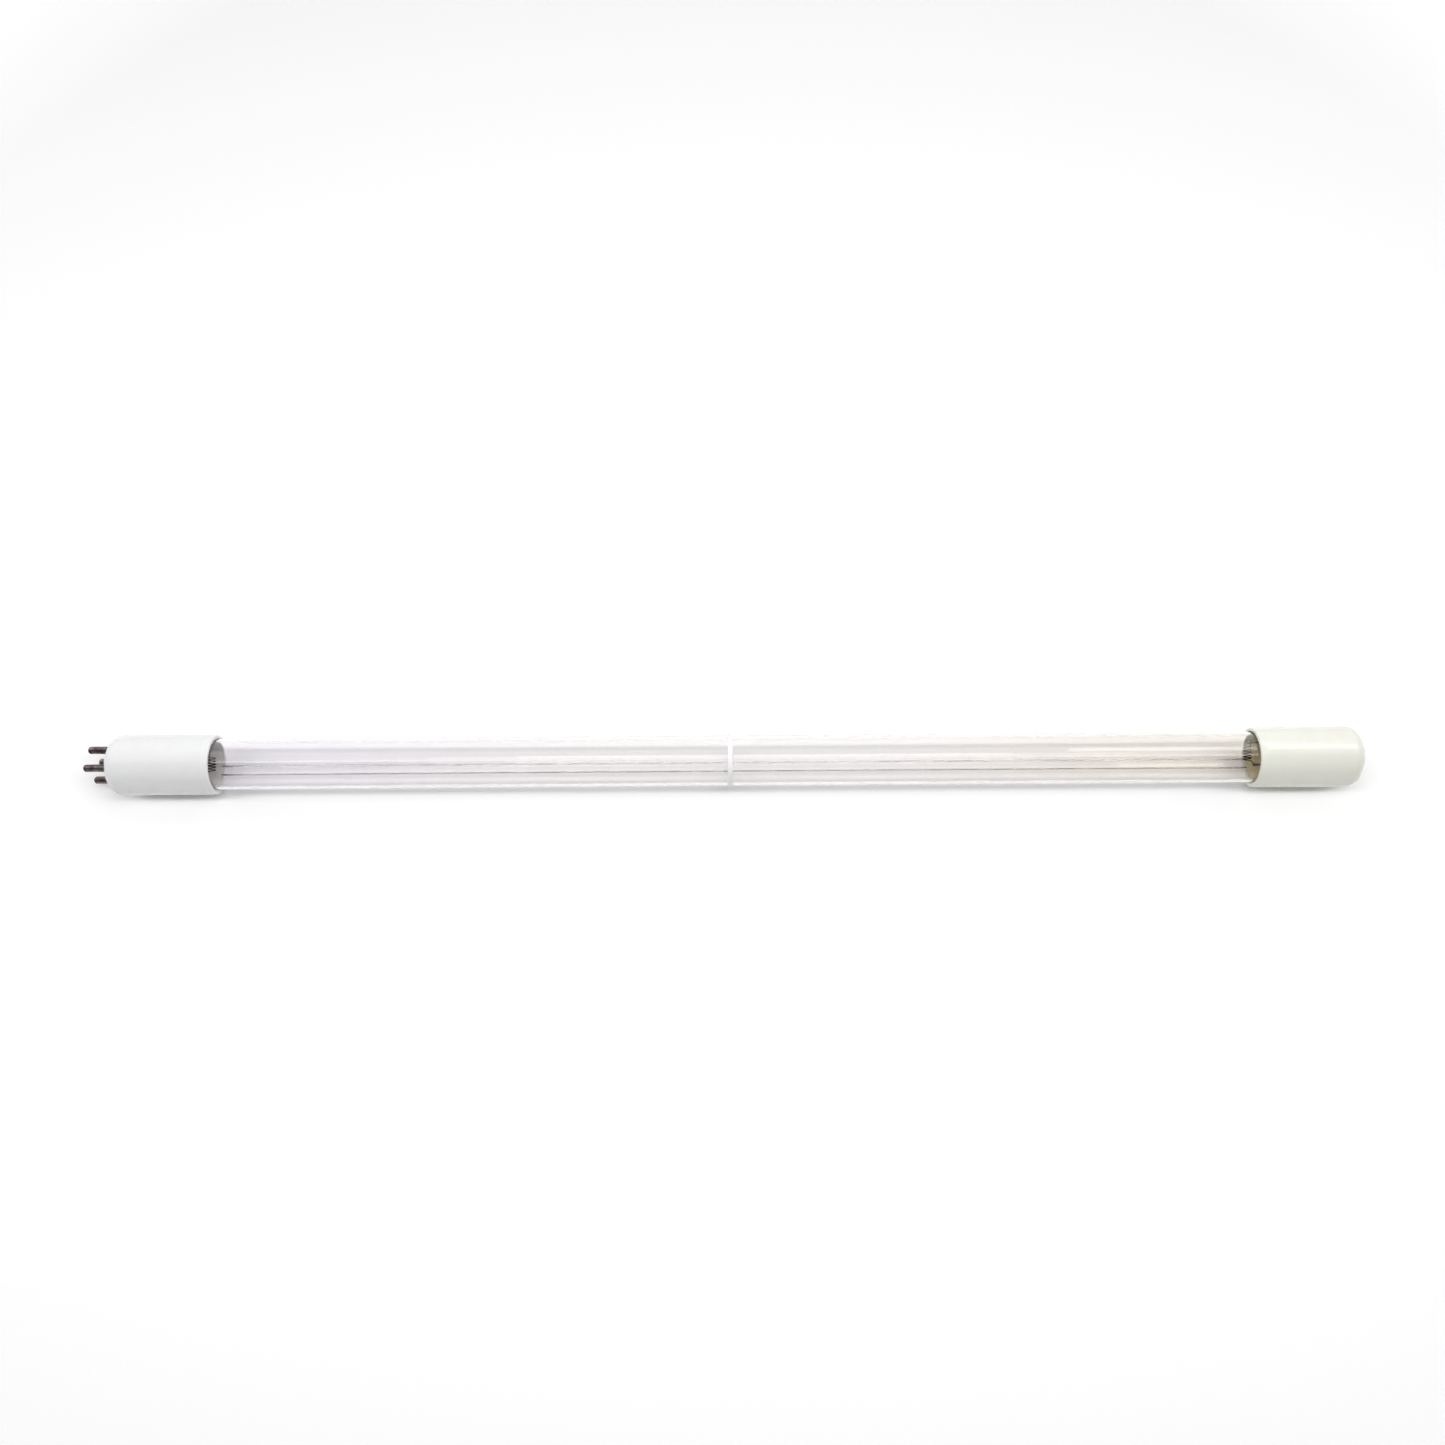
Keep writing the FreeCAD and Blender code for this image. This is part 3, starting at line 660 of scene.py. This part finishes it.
def make_glass_tube(sizes, colours):
    """The drawn tube, with its ends softened where the stems are fused on."""
    outer = TUBE_RADIUS
    inner = TUBE_RADIUS - sizes.tube_wall
    left = FACES[PIN_END] + TUBE_SETBACK
    right = FACES[FAR_END] - TUBE_SETBACK
    edge = sizes.tube_wall / 4
    outline = rounded([(left, outer, edge), (right, outer, edge), (right, inner, edge),
                       (left, inner, edge)])
    piece = shown("clear_tube", lathed(outline, AXIS, TUBE_SIDES))
    dress(piece, tube_glass("drawn quartz glass", colours), "clear_glass", "glass_tube")


def make_stems(colours):
    """The pressed stems, whose faces the frame already gives."""
    material = stem_glass("pressed stem glass", colours)
    for node in ("pin_end_stem", "far_end_stem"):
        dress_node(node, material)


def cap_outline(end, sizes):
    """The outline of a cap: closed at one end with a large round, bevelled to a thin lip."""
    bore = CAP_RADIUS - sizes.cap_wall
    corners = [
        (0, 0, 0),
        (0, CAP_RADIUS, sizes.cap_end_round),
        (CAP_LENGTH - sizes.bevel_length, CAP_RADIUS, sizes.bevel_round),
        (CAP_LENGTH, CAP_RADIUS - sizes.bevel_depth, 2 * sizes.lip_round),
        (CAP_LENGTH, TUBE_RADIUS + sizes.mouth_gap, 2 * sizes.lip_round),
        (CAP_LENGTH - sizes.lip_length, TUBE_RADIUS + sizes.mouth_gap, 0),
        (CAP_LENGTH - sizes.lip_length, bore, 0),
        (sizes.cap_end_wall, bore, sizes.cap_bore_round),
        (sizes.cap_end_wall, 0, 0),
    ]
    placed = [(spot(end, depth).x, r, rounding) for depth, r, rounding in corners]
    return rounded(placed, CAP_ROUND_STEPS)


def pin_centres():
    """The middles of the four contact pins, as points on the lamp's closed pin face."""
    middles = [middle_of("contact_pin_%d" % i) for i in range(1, 5)]
    return [Vector((FACES[PIN_END], middle.y, middle.z)) for middle in middles]


def sleeve_drills(clearance):
    """Round cutters along the two sleeves."""
    drills = []
    for node in ("wire_sleeve_1", "wire_sleeve_2"):
        low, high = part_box(node)
        drills.append(drill(low.x, high.x, radius_of(node) + clearance, middle_of(node), NOTCH_SIDES))
    return drills


def make_caps(sizes, colours):
    """The two glazed caps, notched for the sleeves, and one of them drilled for its pins."""
    material = ceramic_material("glazed steatite", colours.glaze, colours.glaze_thin)
    # Painted warm light: a warmer copy of the same glaze for the closed cap.
    warm = ceramic_material("glazed steatite in painted warm light", colours.warm_lit_glaze, colours.warm_lit_glaze_thin)
    far_cap = shown("closed_cap", lathed(cap_outline(FAR_END, sizes), AXIS, CAP_SIDES))
    drilled(far_cap, sleeve_drills(sizes.sleeve_clearance))
    dress(far_cap, warm, "white_ceramic", "end_cap")
    pin_cap = shown("pin_cap", lathed(cap_outline(PIN_END, sizes), AXIS, CAP_SIDES))
    start = FACES[PIN_END] - sizes.cap_end_wall
    finish = FACES[PIN_END] + 2 * sizes.cap_end_wall
    hole = sizes.pin_shank / 2 + sizes.pin_hole_clearance
    cutters = [drill(start, finish, hole, centre, PIN_HOLE_SIDES) for centre in pin_centres()]
    drilled(pin_cap, cutters + sleeve_drills(sizes.sleeve_clearance))
    dress(pin_cap, material, "white_ceramic", "pin_base")


def make_cement(sizes, colours):
    """The cement in each cap's mouth, swollen unevenly where it was squeezed out."""
    # Painted light: the same cement, near white in the pin end's dim mouth and tan in the closed end's
    # warm light.
    pale = cement_material("pale basing cement", colours.pin_end_cement_painted_light, colours.pin_end_grain_painted_light)
    tan = cement_material("tan basing cement", colours.cement, colours.far_end_grain_painted_warm_light)
    bore = CAP_RADIUS - sizes.cap_wall
    inside = TUBE_RADIUS + sizes.glass_clearance
    front = CAP_LENGTH - sizes.cement_recess
    standing_out = 0.6  # share of the swell by which the cement stands out on the whole
    for end, node, material in ((PIN_END, "pin_end_cement", pale), (FAR_END, "far_end_cement", tan)):
        back = spot(end, front - sizes.cement_length).x
        face = spot(end, front).x
        outline = [(back, inside), (back, bore)]
        for i in range(CEMENT_FACE_STEPS + 1):
            outline.append((face, bore + (inside - bore) * i / CEMENT_FACE_STEPS))
        mesh = lathed(outline, AXIS, CEMENT_SIDES)
        for vertex in mesh.verts:
            if abs(vertex.co.x - face) < TINY:
                lump = noise.noise(vertex.co * per(sizes.cement_lump)) - standing_out
                vertex.co.x -= end * lump * sizes.cement_swell
        ring = shown(node + "_ring", mesh)
        drilled(ring, sleeve_drills(0))
        dress(ring, material, "basing_cement", node)


def make_pins(sizes, colours):
    """The hollow contact pins, and the solder that closes their noses."""
    plate = worn_metal("dulled nickel plate", colours.pin, colours.pin_tarnish,
                       rubbed=0.3, filmed=0.45, film_size=2.5 * MM,
                       line_width=0.15 * MM, line_length=4 * MM, line_height=0.002 * MM)
    tin = worn_metal("pin solder", colours.solder, colours.pin_tarnish,
                     rubbed=0.25, filmed=0.45, film_size=0.5 * MM,
                     line_width=0.2 * MM, line_length=0.3 * MM, line_height=0.01 * MM)
    face = FACES[PIN_END]
    nose = face - sizes.pin_reach
    foot = face + sizes.cap_end_wall
    shoulder = face - sizes.pin_shank_reach
    corners = [
        (foot + sizes.pin_flange_thickness, sizes.pin_bore / 2, 0),
        (foot + sizes.pin_flange_thickness, sizes.pin_flange / 2, sizes.pin_flange_round),
        (foot, sizes.pin_flange / 2, sizes.pin_flange_round),
        (foot, sizes.pin_shank / 2, 0),
        (shoulder, sizes.pin_shank / 2, sizes.pin_shoulder_round),
        (shoulder - sizes.pin_root_taper, sizes.pin_diameter / 2, sizes.pin_root_round),
        (nose, sizes.pin_diameter / 2, sizes.pin_nose_round),
        (nose, sizes.pin_nose_hole / 2, sizes.pin_rim_round),
        (nose + sizes.pin_nose_wall, sizes.pin_nose_hole / 2, 0),
        (nose + sizes.pin_nose_wall, sizes.pin_bore / 2, 0),
    ]
    for i, centre in enumerate(pin_centres(), 1):
        piece = shown("pin_%d" % i, lathed(rounded(corners), centre, PIN_SIDES))
        dress(piece, plate, "pin_plate", "contact_pin_%d" % i)
        dress_node("solder_tip_%d" % i, tin)


def coil_line(end, depth, shift, sizes):
    """Closely spaced points along an electrode's middle line, leg, turns and leg."""
    roll = sizes.electrode_roll
    radius = sizes.coil_diameter / 2
    length = sizes.coil_turns * sizes.coil_pitch
    along = Vector((0, math.cos(roll), math.sin(roll)))
    outwards = Vector((end, 0, 0))
    sideways = along.cross(outwards)
    base = spot(end, depth, shift - length / 2, 0, roll)
    turns = []
    steps = COIL_TURN_STEPS * sizes.coil_turns
    for i in range(steps + 1):
        angle = 2 * math.pi * sizes.coil_turns * i / steps
        turns.append(base + (outwards * math.cos(angle) + sideways * math.sin(angle)) * radius
                     + along * (length * i / steps))
    grips = []
    for side in (-1, 1):
        tip = depth - (sizes.lead_b_shortfall if side < 0 else 0)
        across = shift + side * sizes.lead_spacing / 2
        grips.append(spot(end, tip - sizes.clamp_length / 2, across, 0, roll))
    first = [grips[0].lerp(turns[0], i / COIL_LEG_STEPS) for i in range(COIL_LEG_STEPS)]
    last = [turns[-1].lerp(grips[1], (i + 1) / COIL_LEG_STEPS) for i in range(COIL_LEG_STEPS)]
    return first + turns + last


def wound(line, sizes):
    """Points of the fine coil that is wound round a middle line."""
    runs = [(b - a).length for a, b in zip(line, line[1:])]
    total = sum(runs)
    steps = int(total / sizes.strand_pitch * STRAND_TURN_STEPS)
    orbit = (sizes.coil_strand - sizes.strand_wire) / 2
    normal = (line[1] - line[0]).orthogonal().normalized()
    points = []
    index = 0
    gone = 0.0
    for i in range(steps):
        distance = total * i / steps
        while index < len(runs) - 1 and gone + runs[index] < distance:
            gone += runs[index]
            index += 1
        ahead = (line[index + 1] - line[index]).normalized()
        centre = line[index] + ahead * (distance - gone)
        normal = (normal - ahead * normal.dot(ahead)).normalized()
        angle = 2 * math.pi * i / STRAND_TURN_STEPS
        spoke = normal * math.cos(angle) + ahead.cross(normal) * math.sin(angle)
        points.append(centre + spoke * orbit)
    return points


def make_electrodes(sizes, colours):
    """The two coiled electrodes, each wound from a finer coil of tungsten wire."""
    material = emitter_material("tungsten with emitter oxide", colours.tungsten, colours.emitter)
    for end, depth, shift, node in (
            (PIN_END, sizes.pin_end_coil_depth, 0.0, "pin_end_filament"),
            (FAR_END, sizes.far_end_coil_depth, sizes.far_end_coil_shift, "far_end_filament")):
        strand = wound(coil_line(end, depth, shift, sizes), sizes)
        piece = shown(node + "_coil", swept(strand, sizes.strand_wire / 2, STRAND_SIDES), STRAND_CREASE)
        dress(piece, material, "tungsten", node)


def make_wiring(sizes, colours):
    """Lead wires, return wires, sleeves, splices and the mercury drop."""
    stained = worn_metal("heat-stained nickel wire", colours.nickel, colours.heat_stain,
                         rubbed=0.3, filmed=0.55, film_size=1.2 * MM,
                         line_width=0.08 * MM, line_length=2 * MM, line_height=0.003 * MM)
    bright = worn_metal("drawn nickel wire", colours.nickel, colours.pin_tarnish,
                        rubbed=0.25, filmed=0.4, film_size=6 * MM,
                        line_width=0.06 * MM, line_length=4 * MM, line_height=0.002 * MM)
    crimp = worn_metal("crimped brass", colours.brass, colours.heat_stain,
                       rubbed=0.25, filmed=0.5, film_size=1 * MM,
                       line_width=0.1 * MM, line_length=0.5 * MM, line_height=0.01 * MM)
    sleeve_resin = polymer_material("fluoropolymer sleeve", colours.fluoropolymer,
                                    roughness=0.22, passing=0.92, haze_size=3 * MM)
    for letter in "ab":
        dress_node("pin_end_lead_" + letter, stained)
        dress_node("far_end_lead_" + letter, stained)
    for number in "12":
        dress_node("return_wire_" + number, bright)
        dress_node("splice_" + number, crimp)
        node = "wire_sleeve_" + number
        low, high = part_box(node)
        outer = radius_of(node)
        outline = rounded([(low.x, outer, sizes.sleeve_outer_round),
                           (high.x, outer, sizes.sleeve_outer_round),
                           (high.x, sizes.sleeve_bore, sizes.sleeve_bore_round),
                           (low.x, sizes.sleeve_bore, sizes.sleeve_bore_round)], SLEEVE_ROUND_STEPS)
        piece = shown("sleeve_" + number, lathed(outline, middle_of(node), SLEEVE_SIDES))
        dress(piece, sleeve_resin, "sleeve_resin", node)
    dress_node("mercury_drop", mercury_material("liquid mercury", colours.mercury))


def make_band(colours):
    """The band at mid-length, whose form the frame already gives."""
    resin = polymer_material("fluoropolymer band", colours.band,
                             roughness=0.35, passing=0, haze_size=1.5 * MM)
    dress_node("retaining_band", resin)


def strip(name, angles, span, distance, radiance, tint, lights=True, mirrored=True):
    """A long soft light, between two places along X and two angles, in degrees, about the lamp.

    These angles count from the camera's side over the top. A strip that doesn't light is only seen
    in gloss, and one that isn't mirrored only lights.
    """
    low, high = angles
    left, right = span
    angle = math.radians((low + high) / 2)
    width = 2 * distance * math.tan(math.radians(high - low) / 2)
    data = bpy.data.lights.new(name, "AREA")
    data.shape = "RECTANGLE"
    data.size = right - left
    data.size_y = width
    data.energy = radiance * math.pi * width * (right - left)
    data.color = tint
    lamp = bpy.data.objects.new(name, data)
    away = Vector((0, -math.cos(angle), math.sin(angle)))
    lamp.location = AXIS + away * distance + Vector(((left + right) / 2, 0, 0))
    lamp.rotation_euler = (math.pi / 2 - angle, 0, 0)
    lamp.visible_camera = False
    lamp.visible_diffuse = lights
    lamp.visible_glossy = mirrored
    bpy.context.scene.collection.objects.link(lamp)


def make_camera(stage):
    """The camera, looking down on the lamp from the photographer's side."""
    data = bpy.data.cameras.new("camera")
    data.sensor_width = 36
    data.lens = stage.lens
    data.clip_start = 0.01
    data.clip_end = 50
    camera = bpy.data.objects.new("camera", data)
    camera.location = (stage.side, AXIS.y - stage.distance * math.cos(stage.elevation),
                       AXIS.z + stage.distance * math.sin(stage.elevation))
    camera.rotation_euler = (math.pi / 2 - stage.elevation + stage.aim_up, stage.roll, stage.pan)
    bpy.context.scene.collection.objects.link(camera)
    bpy.context.scene.camera = camera


def make_world(stage):
    """A studio that is white where it is seen, and lights from overhead, the far side and both ends.

    Gloss mirrors a white far side, a dimmer near side and a dark gap over the camera between them.
    """
    world = bpy.data.worlds.new("studio")
    bpy.context.scene.world = world
    world.use_nodes = True
    tree = world.node_tree
    tree.nodes.clear()
    way = add(tree, "ShaderNodeSeparateXYZ", {},
              {"Vector": add(tree, "ShaderNodeTexCoord").outputs["Generated"]})
    ends = add(tree, "ShaderNodeMath", {}, {0: way.outputs["X"], 1: way.outputs["X"]},
               operation="MULTIPLY")
    walls = add(tree, "ShaderNodeMath", {1: stage.end_light, 2: stage.top_light}, {0: ends},
                operation="MULTIPLY_ADD")
    angle = add(tree, "ShaderNodeMath", {}, {0: way.outputs["Z"], 1: way.outputs["Y"]},
                operation="ARCTAN2")
    far = add(tree, "ShaderNodeMapRange",
              {"From Min": stage.far_gloss_gone, "From Max": stage.far_gloss_full,
               "To Max": stage.far_gloss}, {"Value": angle}, interpolation_type="SMOOTHSTEP")
    near = add(tree, "ShaderNodeMapRange",
               {"From Min": stage.near_gloss_gone, "From Max": stage.near_gloss_full,
                "To Max": stage.near_gloss}, {"Value": angle}, interpolation_type="SMOOTHSTEP")
    mirrored = add(tree, "ShaderNodeMath", {}, {0: far, 1: near}, operation="ADD")
    above = add(tree, "ShaderNodeMapRange",
                {"From Min": stage.light_gone, "From Max": stage.light_full}, {"Value": angle},
                interpolation_type="SMOOTHSTEP")
    lighting = add(tree, "ShaderNodeMath", {2: stage.fill_light}, {0: walls, 1: above},
                   operation="MULTIPLY_ADD")
    path = add(tree, "ShaderNodeLightPath")
    through = add(tree, "ShaderNodeMath", {},
                  {0: path.outputs["Is Camera Ray"], 1: path.outputs["Is Transmission Ray"]},
                  operation="MAXIMUM")
    lit = add(tree, "ShaderNodeMix", {"B": 1.0}, {"Factor": through, "A": lighting})
    strength = add(tree, "ShaderNodeMix", {},
                   {"Factor": path.outputs["Is Glossy Ray"], "A": lit, "B": mirrored})
    sky = add(tree, "ShaderNodeBackground", {"Color": (1, 1, 1, 1)}, {"Strength": strength})
    output = add(tree, "ShaderNodeOutputWorld")
    tree.links.new(sky.outputs[0], output.inputs["Surface"])


def make_stage(stage, colours):
    """Floor, sky, lights and camera."""
    mesh = bmesh.new()
    bmesh.ops.create_grid(mesh, x_segments=1, y_segments=1, size=stage.table_reach)
    floor = shown("table_top", mesh)
    floor.data.materials.append(floor_material("matte white table", colours.floor, stage))
    white = (1, 1, 1)
    # The key light, the next strip and the far light fall on the lamp. The two strips near the camera
    # and the window are what its glass and its glaze mirror as lines.
    strip("key light", angles=(82, 91), span=(-1.0, 0.9), distance=0.6, radiance=6.8, tint=white,
          mirrored=False)
    strip("near strip", angles=(69, 75), span=(-0.15, 0.2), distance=0.42, radiance=2.6, tint=white,
          lights=False)
    strip("next strip", angles=(92, 101), span=(-0.15, 0.2), distance=0.42, radiance=2.7, tint=white)
    strip("far light", angles=(118, 142), span=(-0.6, 0.7), distance=1.0, radiance=1.0, tint=white)
    strip("side window", angles=(107, 122), span=(0.43, 1.1), distance=1.0, radiance=5.2,
          tint=colours.window, lights=False)
    make_world(stage)
    make_camera(stage)


class LAMP_OT_glass_tube(bpy.types.Operator):
    """Builds the clear glass tube"""

    bl_idname = "lamp.glass_tube"
    bl_label = "Glass tube"

    def execute(self, context):
        make_glass_tube(context.scene.lamp_sizes, context.scene.lamp_colours)
        return {"FINISHED"}


class LAMP_OT_stems(bpy.types.Operator):
    """Finishes the pressed glass stems"""

    bl_idname = "lamp.stems"
    bl_label = "Stems"

    def execute(self, context):
        make_stems(context.scene.lamp_colours)
        return {"FINISHED"}


class LAMP_OT_caps(bpy.types.Operator):
    """Builds the two ceramic caps"""

    bl_idname = "lamp.caps"
    bl_label = "Caps"

    def execute(self, context):
        make_caps(context.scene.lamp_sizes, context.scene.lamp_colours)
        return {"FINISHED"}


class LAMP_OT_cement(bpy.types.Operator):
    """Builds the basing cement in both caps"""

    bl_idname = "lamp.cement"
    bl_label = "Cement"

    def execute(self, context):
        make_cement(context.scene.lamp_sizes, context.scene.lamp_colours)
        return {"FINISHED"}


class LAMP_OT_pins(bpy.types.Operator):
    """Builds the four contact pins and finishes their solder"""

    bl_idname = "lamp.pins"
    bl_label = "Contact pins"

    def execute(self, context):
        make_pins(context.scene.lamp_sizes, context.scene.lamp_colours)
        return {"FINISHED"}


class LAMP_OT_electrodes(bpy.types.Operator):
    """Winds the two coiled electrodes"""

    bl_idname = "lamp.electrodes"
    bl_label = "Electrodes"

    def execute(self, context):
        make_electrodes(context.scene.lamp_sizes, context.scene.lamp_colours)
        return {"FINISHED"}


class LAMP_OT_wiring(bpy.types.Operator):
    """Builds the sleeves and finishes wires, splices and mercury"""

    bl_idname = "lamp.wiring"
    bl_label = "Wiring"

    def execute(self, context):
        make_wiring(context.scene.lamp_sizes, context.scene.lamp_colours)
        return {"FINISHED"}


class LAMP_OT_band(bpy.types.Operator):
    """Finishes the band at mid-length"""

    bl_idname = "lamp.band"
    bl_label = "Band"

    def execute(self, context):
        make_band(context.scene.lamp_colours)
        return {"FINISHED"}


class LAMP_OT_stage(bpy.types.Operator):
    """Sets the table, the lights and the camera"""

    bl_idname = "lamp.stage"
    bl_label = "Stage"

    def execute(self, context):
        make_stage(context.scene.lamp_stage, context.scene.lamp_colours)
        return {"FINISHED"}


OPERATORS = (LAMP_OT_stage, LAMP_OT_glass_tube, LAMP_OT_stems, LAMP_OT_caps, LAMP_OT_cement,
             LAMP_OT_pins, LAMP_OT_electrodes, LAMP_OT_wiring, LAMP_OT_band)


class LAMP_PT_panel(bpy.types.Panel):
    """Lists the steps that build the lamp"""

    bl_idname = "LAMP_PT_panel"
    bl_label = "Lamp tube"
    bl_space_type = "VIEW_3D"
    bl_region_type = "UI"
    bl_category = "Lamp tube"

    def draw(self, context):
        for step in OPERATORS:
            self.layout.operator(step.bl_idname)


CLASSES = (LampSizes, LampColours, StageSettings) + OPERATORS + (LAMP_PT_panel,)


def register():
    for each in CLASSES:
        bpy.utils.register_class(each)
    bpy.types.Scene.lamp_sizes = PointerProperty(type=LampSizes)
    bpy.types.Scene.lamp_colours = PointerProperty(type=LampColours)
    bpy.types.Scene.lamp_stage = PointerProperty(type=StageSettings)


def unregister():
    del bpy.types.Scene.lamp_stage
    del bpy.types.Scene.lamp_colours
    del bpy.types.Scene.lamp_sizes
    for each in reversed(CLASSES):
        bpy.utils.unregister_class(each)


def main():
    """Builds everything."""
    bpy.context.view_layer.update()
    register()
    bpy.context.scene.view_settings.view_transform = "Standard"
    bpy.ops.lamp.stage()
    bpy.ops.lamp.glass_tube()
    bpy.ops.lamp.stems()
    bpy.ops.lamp.caps()
    bpy.ops.lamp.cement()
    bpy.ops.lamp.pins()
    bpy.ops.lamp.electrodes()
    bpy.ops.lamp.wiring()
    bpy.ops.lamp.band()


if __name__ == "__main__":
    main()
